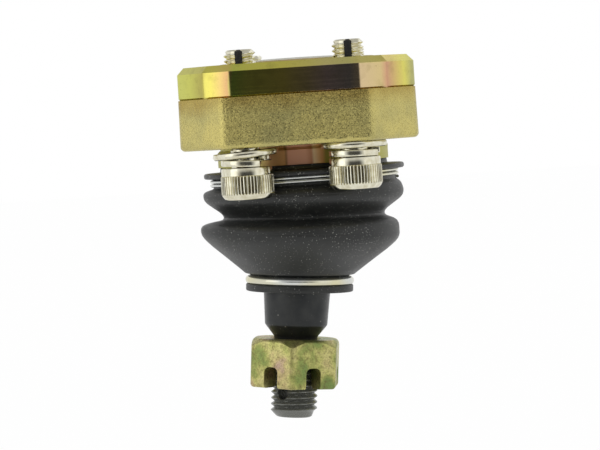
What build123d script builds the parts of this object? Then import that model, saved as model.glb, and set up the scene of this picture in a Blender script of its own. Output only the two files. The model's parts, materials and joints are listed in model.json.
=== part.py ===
"""Suspension ball joint: a tapered ball stud in a cylindrical joint body, held by a two-piece clamp
housing with four socket head screws. Millimetres. The origin is the centre of the clamp plate's top
face, +Z runs up the housing's axis, -Y is the front, and the stud hangs down with a slight lean."""

from build123d import *
from math import atan2, cos, degrees, radians, sin, sqrt, tan
import os

os.makedirs("parts", exist_ok=True)

# ---- driving dimensions ------------------------------------------------------------------------

# ball and its bearings
ball_diameter = 25.0
ball_running_gap = 0.05       # radial, ball to bearing
bearing_fit_gap = 0.05        # radial, bearing to the joint body's cavity
bearing_wall = 3.45           # thinnest wall of a bearing, at the ball's equator
bearing_mouth_diameter = 21.9
equator_gap = 0.4             # from the ball's equator to each bearing
preload_spring_height = 2.2
preload_spring_thickness = 1.2
preload_spring_bore = 18.0

# joint body
barrel_wall = 4.5             # round the bearings' cavity
barrel_top_round = 0.6
collar_step = 1.5             # collar's radius past the barrel
collar_height = 4.3
collar_land_height = 0.7
collar_land_step = 0.7
collar_chamfer = 0.6
socket_floor = 2.7
socket_lip_gap = 0.6          # body's opening past the bearing's mouth
spigot_inset = 1.6            # spigot's radius inside the collar
spigot_length = 5.75
spigot_wall = 3.9             # at its mouth
spigot_groove_depth = 0.8
spigot_groove_width = 1.6

# closing cap, crimped into the top of the barrel
cap_pocket_wall = 2.5         # the barrel's wall round the cap
cap_rim_thickness = 2.3
crimp_width = 1.1
crimp_height = 0.8
cap_crown_height = 1.2        # above the clamp plate
cap_rim_height = 0.6          # the crimped rim, above the clamp plate
cap_slope_width = 7.4         # from the rim in to the flat middle
cap_thickness = 2.2

# clamp plate
plate_thickness = 8.15
plate_side_wall = 9.2         # from the barrel to the plate's sides
plate_end_margin = 9.0        # from a screw's centre to the plate's ends
plate_screw_side_margin = 16.2  # from a screw's centre to the plate's sides
plate_end_flat_margin = 2.5   # past the screw's centre, along the end
plate_shoulder_margin = 9.3   # past the screw's centre, along the end
plate_shoulder_setback = 3.85
plate_side_setback = 14.0
plate_corner_round = 1.8
plate_top_chamfer = 1.7
plate_bottom_chamfer = 0.4
barrel_clearance = 0.15       # radial, plate's bore

# housing casting
housing_height = 12.75
housing_corner_cut = 11.3
housing_corner_round = 3.0
housing_edge_round = 1.2
housing_draft = -0.8          # degrees: it widens down to the mould's parting line
barrel_slide_gap = 0.05       # radial, housing's bore
retaining_pocket_depth = 2.4
retaining_pocket_gap = 0.7

# retaining ring
retaining_ring_thickness = 1.75
retaining_ring_width = 3.0
retaining_groove_depth = 1.25
retaining_ring_gap = 9.0
retaining_lug_diameter = 5.0
retaining_lug_hole = 2.0
groove_side_gap = 0.05

# socket head screws, M8
screw_diameter = 8.0
screw_free_end = 2.95         # the least that a screw stands out of the clamp plate
head_diameter = 13.27
head_height = 8.0
head_top_chamfer = 0.5
head_end_chamfer = 0.9
key_across_flats = 6.0
key_depth = 4.0
screw_tip_chamfer = 0.9
screw_core_diameter = 7.2     # the thread's middle diameter, drawn where it is engaged
thread_gap = 0.02             # radial, every thread
thread_step_gap = 0.05        # from a tapped part's face to the free thread
tapped_mouth_step = 0.3       # countersink of the plate's threads, past the screw's radius
screw_hole_clearance = 0.5    # radial, housing's screw holes
head_to_boot_gap = 0.36
lock_strip_width = 1.7
lock_strip_depth = 0.9
lock_strip_length = 14.0
lock_strip_setback = 0.3

# washers
flat_washer_diameter = 16.5
flat_washer_thickness = 1.6
washer_bore_clearance = 0.2   # radial
lock_washer_diameter = 12.7
lock_washer_thickness = 1.6
lock_washer_split = 12.0      # degrees left open
lock_washer_spread = {"front_left": 1.55, "front_right": 0.65, "rear_left": 2.2, "rear_right": 1.0}
washer_seat_gap = 0.02

# dust boot: radii, and drops along the axis from one feature to the next
boot_wall = 2.0
boot_fit_gap = 0.1
boot_clip_wall = 2.6          # between the spigot and the clip
boot_flange_reach = 2.8       # past the clip's groove
boot_flange_droop = 0.9
boot_flange_thickness = 1.9
boot_flange_undercut = 0.5    # its underside rises towards the clip
boot_fold_reach = 2.8         # past the clip's groove
boot_fold_drop = 3.8
boot_fold_rise = 1.7          # from a fold's rim up to its flat top
boot_waist_depth = 5.1        # inside the fold above it
boot_waist_drop = 5.75
boot_lower_fold_reach = 2.6   # past the clip's groove
boot_lower_fold_drop = 4.25
boot_lower_fold_rise = 2.2
boot_cone_drop = 10.7
boot_cone_end_step = 0.2      # the cone's end past the ring
boot_ring_drop = 1.85
boot_seal_wall = 2.85         # between the stud's taper and the ring
boot_lip_drop = 2.9
boot_lip_inset = 0.2          # the lip's radius inside the ring's
boot_lip_thickness = 1.9
boot_lean_share = 0.82        # how far the boot's lower end follows the stud's lean

# wires round the boot
clip_wire = 0.8
clip_turns = 2
ring_wire = 2.3

# ball stud, along its own axis
stud_lean = 5.2               # degrees towards -X
neck_diameter = 13.0
neck_length = 21.0            # from the ball's centre
shoulder_drop = 11.5          # from the end of the neck to the top of the taper
taper_end_diameter = 16.15
taper_per_mm = 0.125          # change of diameter
taper_below_boot = 8.7
thread_diameter = 12.0
thread_core_diameter = 11.0   # the thread's middle diameter, drawn inside the nut
nose_drop = 2.95
thread_length = 20.95
stud_tip_chamfer = 1.6
cotter_hole_diameter = 3.2
cotter_hole_drop = 1.5        # below the nut
stud_turn = -2.9              # degrees about the stud, from the front towards +X

# slotted nut
nut_across_flats = 22.0
nut_height = 12.55
nut_seat_drop = 0.6
nut_slot_pairs = 3
nut_slot_width = 4.1
nut_slot_depth = 5.5
nut_face_diameter = 21.4
nut_face_chamfer = 50.0       # degrees
nut_bore_chamfer = 0.9

# ---- levels and radii that follow ----------------------------------------------------------------

ball_radius = ball_diameter / 2
cavity_radius = ball_radius + bearing_wall + bearing_fit_gap
barrel_radius = cavity_radius + barrel_wall
collar_radius = barrel_radius + collar_step
spigot_radius = collar_radius - spigot_inset
socket_lip_radius = bearing_mouth_diameter / 2 + socket_lip_gap

housing_top = -plate_thickness
housing_bottom = housing_top - housing_height
collar_top = housing_bottom - collar_land_height
collar_bottom = collar_top - collar_height
spigot_bottom = collar_bottom - spigot_length
socket_floor_top = collar_bottom + socket_floor
ball_centre = socket_floor_top + sqrt(ball_radius**2 - (bearing_mouth_diameter / 2) ** 2)

cap_radius = barrel_radius - cap_pocket_wall
cap_opening_radius = cap_radius - crimp_width
cap_shoulder_top = cap_rim_height - crimp_height
cap_seat = cap_shoulder_top - cap_rim_thickness
spring_seat = cap_seat - preload_spring_height

clip_groove_radius = spigot_radius + boot_fit_gap + boot_clip_wall
flange_radius = clip_groove_radius + boot_flange_reach

plate_half_width = barrel_radius + plate_side_wall
screw_x = plate_half_width - plate_screw_side_margin
screw_y = sqrt((flange_radius + head_diameter / 2 + head_to_boot_gap) ** 2 - screw_x**2)
plate_half_depth = screw_y + plate_end_margin
thread_bore_radius = screw_core_diameter / 2 + thread_gap
tapped_mouth_radius = screw_diameter / 2 + tapped_mouth_step

# ---- frames: the housing's axis, and the stud's through the ball's centre ------------------------

lean = radians(stud_lean)


def leaning_plane(depth, share=1.0):
    """Plane across the axis at this depth below the ball's centre, with a share of the stud's lean."""
    across = Vector(cos(lean * share), 0, -sin(lean * share))
    upward = Vector(sin(lean * share), 0, cos(lean * share))
    return Plane(origin=Vector(0, 0, ball_centre) - upward * depth, x_dir=across, z_dir=upward)


stud_axis = Axis((0, 0, ball_centre), leaning_plane(0).z_dir)
stud_profile = Plane(origin=(0, 0, ball_centre), x_dir=leaning_plane(0).x_dir, z_dir=(0, -1, 0))

screw_places = {
    "front_left": (-screw_x, -screw_y),
    "front_right": (screw_x, -screw_y),
    "rear_left": (-screw_x, screw_y),
    "rear_right": (screw_x, screw_y),
}
# the way each screw's locking strip faces once it is tight, in degrees from +X
strip_directions = {"front_left": -92.0, "front_right": -89.0, "rear_left": 150.0, "rear_right": 35.0}
split_directions = {"front_left": -55.0, "front_right": -20.0, "rear_left": 160.0, "rear_right": 75.0}


def save(part, name):
    part.label = name
    export_step(part, f"parts/{name}.step")


# ---- clamp plate: machined steel, tapped for the four screws -------------------------------------

end_flat_half = screw_x + plate_end_flat_margin
shoulder_x = screw_x + plate_shoulder_margin
plate_corner_points = [
    (end_flat_half, -plate_half_depth),
    (shoulder_x, plate_shoulder_setback - plate_half_depth),
    (plate_half_width, plate_side_setback - plate_half_depth),
]

with BuildPart() as clamp_plate:
    with BuildSketch(Plane.XY.offset(housing_top)):
        with BuildLine():
            Polyline((0, -plate_half_depth), *plate_corner_points, (plate_half_width, 0), (0, 0), close=True)
        make_face()
        mirror(about=Plane.YZ)
        mirror(about=Plane.XZ)
    extrude(amount=plate_thickness)
    fillet(clamp_plate.edges().filter_by(Axis.Z), radius=plate_corner_round)
    chamfer(clamp_plate.faces().sort_by(Axis.Z)[-1].edges(), length=plate_top_chamfer)
    chamfer(clamp_plate.faces().sort_by(Axis.Z)[0].edges(), length=plate_bottom_chamfer)
    Hole(radius=barrel_radius + barrel_clearance)
    with Locations(*screw_places.values()):
        CounterSinkHole(radius=thread_bore_radius, counter_sink_radius=tapped_mouth_radius, counter_sink_angle=90)
save(clamp_plate.part, "clamp_plate")

# ---- housing: sand casting with draft, bored for the joint body ----------------------------------

retaining_ring_radius = barrel_radius - retaining_groove_depth + groove_side_gap + retaining_ring_width
lug_centre_radius = retaining_ring_radius
pocket_radius = lug_centre_radius + retaining_lug_diameter / 2 + retaining_pocket_gap

with BuildPart() as housing:
    with BuildSketch(Plane(origin=(0, 0, housing_top), x_dir=(1, 0, 0), z_dir=(0, 0, -1))) as casting_outline:
        Rectangle(2 * plate_half_width, 2 * plate_half_depth)
        chamfer(casting_outline.vertices(), length=housing_corner_cut)
        fillet(casting_outline.vertices(), radius=housing_corner_round)
    extrude(amount=housing_height, taper=housing_draft)
    fillet(housing.faces().sort_by(Axis.Z)[0].edges(), radius=housing_edge_round)
    with Locations((0, 0, housing_top)):
        CounterBoreHole(
            radius=barrel_radius + barrel_slide_gap,
            counter_bore_radius=pocket_radius,
            counter_bore_depth=retaining_pocket_depth,
        )
    with Locations(*screw_places.values()):
        Hole(radius=screw_diameter / 2 + screw_hole_clearance)
save(housing.part, "housing")

# ---- joint body: turned steel, with the ball's cavity and the boot's spigot ----------------------

ring_groove_bottom = housing_top - retaining_pocket_depth
ring_groove_top = ring_groove_bottom + retaining_ring_thickness + 2 * groove_side_gap
ring_groove_radius = barrel_radius - retaining_groove_depth
land_radius = barrel_radius + collar_land_step
boot_flange_top = collar_bottom - boot_fit_gap
clip_pitch = clip_wire + boot_fit_gap
clip_groove_half = (clip_turns * clip_pitch + clip_wire) / 2 + boot_fit_gap
flange_bottom = boot_flange_top - boot_flange_droop - boot_flange_thickness
boot_clip_level = flange_bottom + boot_flange_undercut - boot_fit_gap - clip_groove_half
spigot_groove_radius = spigot_radius - spigot_groove_depth
spigot_groove_top = boot_clip_level + spigot_groove_width / 2
spigot_groove_bottom = boot_clip_level - spigot_groove_width / 2

with BuildPart() as joint_body:
    with BuildSketch(Plane.XZ):
        with BuildLine():
            Polyline(
                (cap_opening_radius, cap_rim_height),
                (barrel_radius - barrel_top_round, cap_rim_height),
                (barrel_radius, cap_rim_height - barrel_top_round),
                (barrel_radius, ring_groove_top),
                (ring_groove_radius, ring_groove_top),
                (ring_groove_radius, ring_groove_bottom),
                (barrel_radius, ring_groove_bottom),
                (barrel_radius, housing_bottom),
                (land_radius, housing_bottom),
                (land_radius, collar_top),
                (collar_radius - collar_chamfer, collar_top),
                (collar_radius, collar_top - collar_chamfer),
                (collar_radius, collar_bottom),
                (spigot_radius, collar_bottom),
                (spigot_radius, spigot_groove_top),
                (spigot_groove_radius, spigot_groove_top),
                (spigot_groove_radius, spigot_groove_bottom),
                (spigot_radius, spigot_groove_bottom),
                (spigot_radius, spigot_bottom),
                (spigot_radius - spigot_wall, spigot_bottom),
                (socket_lip_radius, socket_floor_top),
                (cavity_radius, socket_floor_top),
                (cavity_radius, cap_seat),
                (cap_radius, cap_seat),
                (cap_radius, cap_shoulder_top),
                (cap_opening_radius, cap_shoulder_top),
                close=True,
            )
        make_face()
    revolve(axis=Axis.Z)
save(joint_body.part, "joint_body")

# ---- retaining ring: external spring ring with two plier lugs, in the housing's pocket -----------

lug_side = retaining_ring_gap / 2 + retaining_lug_diameter / 2
lug_angle = degrees(atan2(lug_side, lug_centre_radius))
lug_places = [
    (-lug_centre_radius * cos(radians(side)), lug_centre_radius * sin(radians(side)))
    for side in (lug_angle, -lug_angle)
]

with BuildPart() as retaining_ring:
    with BuildSketch(Plane.XY.offset(ring_groove_bottom + groove_side_gap)):
        Circle(retaining_ring_radius)
        with Locations(*lug_places):
            Circle(retaining_lug_diameter / 2)
        Circle(ring_groove_radius + groove_side_gap, mode=Mode.SUBTRACT)
        with Locations((-lug_centre_radius, 0)):
            Rectangle(lug_centre_radius, retaining_ring_gap, mode=Mode.SUBTRACT)
        with Locations(*lug_places):
            Circle(retaining_lug_hole / 2, mode=Mode.SUBTRACT)
    extrude(amount=retaining_ring_thickness)
save(retaining_ring.part, "retaining_ring")

# ---- bearings: upper and lower halves of the ball's seat -----------------------------------------

bearing_radius = cavity_radius - bearing_fit_gap
ball_seat_radius = ball_radius + ball_running_gap

with BuildPart() as lower_bearing:
    with BuildSketch(Plane.XY.offset(socket_floor_top)):
        Circle(bearing_radius)
    extrude(amount=ball_centre - equator_gap - socket_floor_top)
    with Locations((0, 0, ball_centre)):
        Sphere(ball_seat_radius, mode=Mode.SUBTRACT)
save(lower_bearing.part, "lower_bearing")

with BuildPart() as upper_bearing:
    with BuildSketch(Plane.XY.offset(ball_centre + equator_gap)):
        Circle(bearing_radius)
    extrude(amount=spring_seat - ball_centre - equator_gap)
    with Locations((0, 0, ball_centre)):
        Sphere(ball_seat_radius, mode=Mode.SUBTRACT)
    with BuildSketch(Plane.XY.offset(ball_centre)):
        Circle(preload_spring_bore / 4)
    extrude(amount=spring_seat - ball_centre, mode=Mode.SUBTRACT)
save(upper_bearing.part, "upper_bearing")

# ---- preload spring: coned disc between the upper bearing and the cap ----------------------------

spring_rise = preload_spring_height - preload_spring_thickness
with BuildPart() as preload_spring:
    with BuildSketch(Plane.XZ):
        with BuildLine():
            Polyline(
                (bearing_radius, spring_seat),
                (bearing_radius, spring_seat + preload_spring_thickness),
                (preload_spring_bore / 2, cap_seat),
                (preload_spring_bore / 2, spring_seat + spring_rise),
                close=True,
            )
        make_face()
    revolve(axis=Axis.Z)
save(preload_spring.part, "preload_spring")

# ---- closing cap: domed plug crimped under the barrel's rim --------------------------------------

cap_recess_radius = preload_spring_bore / 2 - bearing_fit_gap
with BuildPart() as closing_cap:
    with BuildSketch(Plane.XZ):
        with BuildLine():
            Polyline(
                (0, cap_crown_height),
                (0, cap_crown_height - cap_thickness),
                (cap_recess_radius, cap_crown_height - cap_thickness),
                (cap_recess_radius, cap_seat),
                (cap_radius - bearing_fit_gap, cap_seat),
                (cap_radius - bearing_fit_gap, cap_shoulder_top - groove_side_gap),
                (cap_opening_radius - bearing_fit_gap, cap_shoulder_top - groove_side_gap),
                (cap_opening_radius - bearing_fit_gap, cap_rim_height),
                (cap_opening_radius - cap_slope_width, cap_crown_height),
                close=True,
            )
        make_face()
    revolve(axis=Axis.Z)
save(closing_cap.part, "closing_cap")

# ---- four screws, each with a nylon locking strip, a split washer and a plain one ---------------
# Each split washer is still sprung open by its own amount, so each screw stands at its own height.
# A screw, its strip and its split washer are made on the Z axis with the head's seat at zero, and
# turned copies go to the screw's place.

screw_radius = screw_diameter / 2
screw_core_radius = screw_core_diameter / 2
head_radius = head_diameter / 2
washer_bore_radius = screw_radius + washer_bore_clearance
lock_washer_width = lock_washer_diameter / 2 - washer_bore_radius
coil_radius = washer_bore_radius + lock_washer_width / 2
coil_foot = washer_seat_gap + lock_washer_thickness / 2
flat_washer_bottom = housing_bottom - flat_washer_thickness
closed_seat = flat_washer_bottom - lock_washer_thickness - 2 * washer_seat_gap
screw_length = screw_free_end + max(lock_washer_spread.values()) - closed_seat
strip_end = screw_length - lock_strip_setback

for place, (x, y) in screw_places.items():
    spread = lock_washer_spread[place]
    head_seat = closed_seat - spread
    free_start = thread_step_gap - head_seat

    with BuildPart() as cap_screw:
        with BuildSketch(Plane.XZ):
            with BuildLine():
                Polyline(
                    (0, screw_length),
                    (0, -head_height),
                    (head_radius - head_end_chamfer, -head_height),
                    (head_radius, head_end_chamfer - head_height),
                    (head_radius, -head_top_chamfer),
                    (head_radius - head_top_chamfer, 0),
                    (screw_core_radius, 0),
                    (screw_core_radius, free_start),
                    (screw_radius, free_start),
                    (screw_radius, screw_length - screw_tip_chamfer),
                    (screw_radius - screw_tip_chamfer, screw_length),
                    close=True,
                )
            make_face()
        revolve(axis=Axis.Z)
        blank = cap_screw.part
        with BuildSketch(Plane.XY.offset(-head_height)):
            RegularPolygon(key_across_flats / 2, 6, major_radius=False)
        extrude(amount=key_depth, mode=Mode.SUBTRACT)
        with BuildSketch(Plane.XY.offset(strip_end - lock_strip_length)):
            with Locations((screw_radius, 0)):
                Rectangle(2 * lock_strip_depth, lock_strip_width)
        extrude(amount=lock_strip_length + lock_strip_setback, mode=Mode.SUBTRACT)

    with BuildPart() as lock_strip:
        with BuildSketch(Plane.XY.offset(strip_end - lock_strip_length)):
            with Locations((screw_radius, 0)):
                Rectangle(2 * lock_strip_depth, lock_strip_width)
        extrude(amount=lock_strip_length)
        add(blank, mode=Mode.INTERSECT)

    with BuildPart() as lock_washer:
        with BuildLine(Plane.XY.offset(coil_foot)) as coil:
            Helix(spread * 360 / (360 - lock_washer_split), spread, coil_radius, lefthand=True)
        with BuildSketch(Plane(origin=coil.line @ 0, x_dir=(1, 0, 0), z_dir=coil.line % 0)):
            Rectangle(lock_washer_width, lock_washer_thickness)
        sweep(path=coil.line, is_frenet=True)

    with BuildPart() as flat_washer:
        with BuildSketch(Plane.XY.offset(flat_washer_bottom)):
            with Locations((x, y)):
                Circle(flat_washer_diameter / 2)
                Circle(washer_bore_radius, mode=Mode.SUBTRACT)
        extrude(amount=flat_washer_thickness)

    tightened = Location((x, y, head_seat), (0, 0, strip_directions[place]))
    sprung_open = Location((x, y, head_seat), (0, 0, split_directions[place]))
    save(cap_screw.part.moved(tightened), f"cap_screw_{place}")
    save(lock_strip.part.moved(tightened), f"lock_strip_{place}")
    save(lock_washer.part.moved(sprung_open), f"lock_washer_{place}")
    save(flat_washer.part, f"flat_washer_{place}")

# ---- ball stud: forged and turned, leaning about the ball's centre -------------------------------

boot_fold_level = boot_clip_level - boot_fold_drop
boot_waist_level = boot_fold_level - boot_waist_drop
boot_lower_fold_level = boot_waist_level - boot_lower_fold_drop
boot_cone_end_level = boot_lower_fold_level - boot_cone_drop
boot_ring_level = boot_cone_end_level - boot_ring_drop
boot_lip_level = boot_ring_level - boot_lip_drop

boot_end_depth = ball_centre - boot_lip_level
taper_end_depth = boot_end_depth + taper_below_boot
shoulder_depth = neck_length + shoulder_drop
thread_start_depth = taper_end_depth + nose_drop
tip_depth = thread_start_depth + thread_length


def taper_radius(depth):
    """Radius of the stud's taper at a depth below the ball's centre."""
    return taper_end_diameter / 2 + (taper_end_depth - depth) * taper_per_mm / 2


ball_neck_depth = sqrt(ball_radius**2 - (neck_diameter / 2) ** 2)
cotter_direction = stud_turn - 30
nut_seat_depth = thread_start_depth + nut_seat_drop
nut_end_depth = nut_seat_depth + nut_height

with BuildPart() as ball_stud:
    with BuildSketch(stud_profile):
        with BuildLine():
            Polyline(
                (0, ball_radius),
                (0, -tip_depth),
                (thread_diameter / 2 - stud_tip_chamfer, -tip_depth),
                (thread_diameter / 2, stud_tip_chamfer - tip_depth),
                (thread_diameter / 2, -nut_end_depth - thread_step_gap),
                (thread_core_diameter / 2, -nut_end_depth - thread_step_gap),
                (thread_core_diameter / 2, -thread_start_depth),
                (taper_end_diameter / 2, -taper_end_depth),
                (taper_radius(shoulder_depth), -shoulder_depth),
                (neck_diameter / 2, -neck_length),
                (neck_diameter / 2, -ball_neck_depth),
            )
            ThreePointArc((neck_diameter / 2, -ball_neck_depth), (ball_radius, 0), (0, ball_radius))
        make_face()
    revolve(axis=stud_axis)
    with Locations(leaning_plane(nut_end_depth + cotter_hole_drop)):
        with Locations(Rotation(0, 0, cotter_direction) * Rotation(90, 0, 0)):
            Cylinder(cotter_hole_diameter / 2, 2 * thread_diameter, mode=Mode.SUBTRACT)
save(ball_stud.part, "ball_stud")

# ---- slotted nut: forged hexagon, chamfered at its seat, with six slots for a cotter pin ---------

with BuildPart() as castle_nut:
    with BuildSketch(leaning_plane(nut_end_depth)):
        RegularPolygon(nut_across_flats / 2, 6, major_radius=False, rotation=stud_turn - 90)
    extrude(amount=nut_height)
    nut_corner_radius = nut_across_flats / sqrt(3)
    face_drop = (nut_corner_radius - nut_face_diameter / 2) * tan(radians(nut_face_chamfer))
    with BuildSketch(stud_profile):
        with BuildLine():
            Polyline(
                (0, -nut_seat_depth),
                (nut_face_diameter / 2, -nut_seat_depth),
                (nut_corner_radius, -nut_seat_depth - face_drop),
                (nut_corner_radius, -nut_end_depth + nut_bore_chamfer),
                (nut_corner_radius - nut_bore_chamfer, -nut_end_depth),
                (0, -nut_end_depth),
                close=True,
            )
        make_face()
    revolve(axis=stud_axis, mode=Mode.INTERSECT)
    with BuildSketch(leaning_plane(nut_end_depth)):
        Circle(thread_core_diameter / 2 + thread_gap)
    extrude(amount=nut_height, mode=Mode.SUBTRACT)
    with BuildSketch(leaning_plane(nut_end_depth)):
        with PolarLocations(0, nut_slot_pairs, start_angle=cotter_direction, angular_range=180):
            Rectangle(nut_slot_width, 2 * nut_corner_radius)
    extrude(amount=nut_slot_depth, mode=Mode.SUBTRACT)
save(castle_nut.part, "castle_nut")

# ---- dust boot: two-fold rubber bellows, clipped to the spigot and to the stud's taper -----------
# Its top stays square to the housing and its lower end to the stud: the rounds between lean by a
# growing share of the stud's lean.

fold_radius = clip_groove_radius + boot_fold_reach
waist_radius = fold_radius - boot_waist_depth
lower_fold_radius = clip_groove_radius + boot_lower_fold_reach
ring_seat_radius = taper_radius(ball_centre - boot_ring_level) + boot_seal_wall
ring_centre_radius = ring_seat_radius + boot_fit_gap + ring_wire / 2
ring_groove_half = ring_wire / 2 + boot_fit_gap
cone_end_radius = ring_centre_radius + ring_wire / 2 + boot_cone_end_step
lip_radius = ring_centre_radius + ring_wire / 2 - boot_lip_inset
lip_top = boot_lip_level + boot_lip_thickness
rubber_edge = boot_wall / 5


def fold(radius, level, rise):
    """Outside of one fold: nearly flat on top, round at the rim, conical below."""
    return [
        (radius - 0.5 * rise, level + rise),
        (radius - 0.18 * rise, level + 0.75 * rise),
        (radius, level + 0.25 * rise),
        (radius, level - 0.2 * rise),
        (radius - 0.25 * rise, level - 0.7 * rise),
    ]


boot_outside = [
    (collar_radius, boot_flange_top),
    (collar_radius + rubber_edge, boot_flange_top - boot_flange_droop),
    (flange_radius - rubber_edge, boot_flange_top - boot_flange_droop - rubber_edge / 4),
    (flange_radius, boot_flange_top - boot_flange_droop - rubber_edge),
    (flange_radius, flange_bottom + rubber_edge),
    (flange_radius - rubber_edge, flange_bottom),
    (clip_groove_radius, boot_clip_level + clip_groove_half),
    (clip_groove_radius, boot_clip_level - clip_groove_half),
    *fold(fold_radius, boot_fold_level, boot_fold_rise),
    (waist_radius + rubber_edge, boot_waist_level + 2 * rubber_edge),
    (waist_radius, boot_waist_level),
    *fold(lower_fold_radius, boot_lower_fold_level, boot_lower_fold_rise),
    (cone_end_radius, boot_cone_end_level),
    (ring_centre_radius, boot_ring_level + 1.05 * ring_groove_half),
    (ring_centre_radius - 0.55 * ring_groove_half, boot_ring_level + 0.95 * ring_groove_half),
    (ring_seat_radius, boot_ring_level + 0.5 * ring_groove_half),
    (ring_seat_radius, boot_ring_level - 0.5 * ring_groove_half),
    (ring_centre_radius - 0.55 * ring_groove_half, boot_ring_level - 0.95 * ring_groove_half),
    (ring_centre_radius, boot_ring_level - 1.05 * ring_groove_half),
    (lip_radius, lip_top),
    (lip_radius, boot_lip_level + rubber_edge),
    (lip_radius - rubber_edge, boot_lip_level),
]

# inside: the spigot, a wall's thickness within each fold, then the taper
cone_per_mm = (lower_fold_radius - cone_end_radius) / boot_cone_drop
cone_wall = boot_wall * sqrt(1 + cone_per_mm**2)
neck_seal_radius = taper_radius(ball_centre - boot_cone_end_level) + boot_fit_gap
neck_seal_level = boot_cone_end_level + (cone_wall + neck_seal_radius - cone_end_radius) / cone_per_mm
lip_seal_radius = taper_radius(boot_end_depth) + boot_fit_gap
boot_inside = [
    (spigot_radius + boot_fit_gap, boot_flange_top + boot_wall),
    (spigot_radius + boot_fit_gap, spigot_bottom - boot_fit_gap),
    (fold_radius - boot_wall, boot_fold_level),
    (waist_radius - boot_wall, boot_waist_level + boot_wall / 2),
    (waist_radius - boot_wall, boot_waist_level - boot_wall / 2),
    (lower_fold_radius - boot_wall, boot_lower_fold_level + boot_lower_fold_rise / 4),
    (lower_fold_radius - boot_wall, boot_lower_fold_level),
    (neck_seal_radius, neck_seal_level),
    (lip_seal_radius, boot_lip_level),
    (lip_seal_radius, boot_lip_level - boot_wall),
]


lean_start = spigot_bottom - boot_fit_gap
lean_end = boot_lower_fold_level - boot_lower_fold_rise


def boot_lean(level, full=1.0):
    """Share of the stud's lean that the boot takes at a level, and in full below its folds."""
    share = (lean_start - level) / (lean_start - lean_end)
    return min(max(share, 0.0), 1.0) * full


with BuildPart() as dust_boot:
    for radius, level in boot_outside:
        with BuildSketch(leaning_plane(ball_centre - level, boot_lean(level, boot_lean_share))):
            Circle(radius)
    loft(ruled=True)
    for radius, level in boot_inside:
        with BuildSketch(leaning_plane(ball_centre - level, boot_lean(level))):
            Circle(radius)
    loft(ruled=True, mode=Mode.SUBTRACT)
save(dust_boot.part, "dust_boot")

# ---- wires that hold the boot: two sprung turns at the spigot, a plain ring at the taper ---------

clip_centre_radius = clip_groove_radius + boot_fit_gap + clip_wire / 2
with BuildPart() as boot_clip:
    with BuildLine(Plane.XY.offset(boot_clip_level - clip_turns * clip_pitch / 2)) as clip_coil:
        Helix(pitch=clip_pitch, height=clip_turns * clip_pitch, radius=clip_centre_radius)
    with BuildSketch(Plane(origin=clip_coil.line @ 0, z_dir=clip_coil.line % 0)):
        Circle(clip_wire / 2)
    sweep(path=clip_coil.line, is_frenet=True)
save(boot_clip.part, "boot_clip_upper")

ring_plane = leaning_plane(ball_centre - boot_ring_level, boot_lean_share)
with BuildPart() as boot_ring:
    with Locations(ring_plane):
        Torus(ring_centre_radius, ring_wire / 2)
save(boot_ring.part, "boot_ring_lower")
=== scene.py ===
"""Looks of a clamp-on suspension ball joint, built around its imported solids."""

import json
from math import atan2, cos, hypot, pi, radians, sin, sqrt, tau

import bpy
from mathutils import Matrix, Vector


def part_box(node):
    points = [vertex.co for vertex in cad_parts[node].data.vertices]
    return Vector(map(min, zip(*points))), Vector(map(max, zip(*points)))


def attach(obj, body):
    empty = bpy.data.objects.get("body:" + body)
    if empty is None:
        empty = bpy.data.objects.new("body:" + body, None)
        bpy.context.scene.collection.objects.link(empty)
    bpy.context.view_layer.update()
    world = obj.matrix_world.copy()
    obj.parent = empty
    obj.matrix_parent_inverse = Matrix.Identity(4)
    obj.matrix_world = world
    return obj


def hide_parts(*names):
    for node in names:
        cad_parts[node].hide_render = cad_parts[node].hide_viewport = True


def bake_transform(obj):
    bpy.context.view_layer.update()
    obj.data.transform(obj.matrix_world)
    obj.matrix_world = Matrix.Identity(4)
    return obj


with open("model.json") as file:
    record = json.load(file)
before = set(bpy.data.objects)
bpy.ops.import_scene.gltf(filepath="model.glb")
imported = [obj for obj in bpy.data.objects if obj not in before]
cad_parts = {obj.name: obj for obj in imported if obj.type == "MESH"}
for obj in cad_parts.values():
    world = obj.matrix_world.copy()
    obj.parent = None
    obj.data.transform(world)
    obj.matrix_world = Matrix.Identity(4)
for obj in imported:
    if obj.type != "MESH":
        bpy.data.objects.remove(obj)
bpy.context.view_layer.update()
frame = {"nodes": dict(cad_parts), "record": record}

# ---- Clamp plate -------------------------------------------------------------------------------
# Milled steel plate that the four screws pull against the housing. It is bright zinc plated and
# passivated, so its gold skin drifts to green and rose, over fine lines left by the cutter.

mm = 0.001


class Shade:
    """A socket among a finish's nodes, on which sums can be written."""

    def __init__(self, tree, socket=None):
        self.tree = tree
        self.socket = socket

    def node(self, kind, settings=None, sockets=None, output=0):
        """Adds a node: its settings first, then values or links for its sockets."""
        made = self.tree.nodes.new("ShaderNode" + kind)
        for name, value in (settings or {}).items():
            if name == "stops":
                self.set_stops(made.color_ramp, value)
            else:
                setattr(made, name, value)
        for name, value in (sockets or {}).items():
            if isinstance(value, Shade):
                self.tree.links.new(value.socket, made.inputs[name])
            else:
                made.inputs[name].default_value = value
        return Shade(self.tree, made.outputs[output]) if made.outputs else None

    def set_stops(self, ramp, stops):
        while len(ramp.elements) > 1:
            ramp.elements.remove(ramp.elements[-1])
        ramp.elements[0].position, ramp.elements[0].color = stops[0]
        for place, colour in stops[1:]:
            ramp.elements.new(place).color = colour

    def sum(self, operation, first, second):
        return self.node("Math", {"operation": operation}, {0: first, 1: second})

    def __add__(self, other):
        return self.sum("ADD", self, other)

    def __sub__(self, other):
        return self.sum("SUBTRACT", self, other)

    def __rsub__(self, other):
        return self.sum("SUBTRACT", other, self)

    def __mul__(self, other):
        return self.sum("MULTIPLY", self, other)

    __radd__ = __add__
    __rmul__ = __mul__


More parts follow.
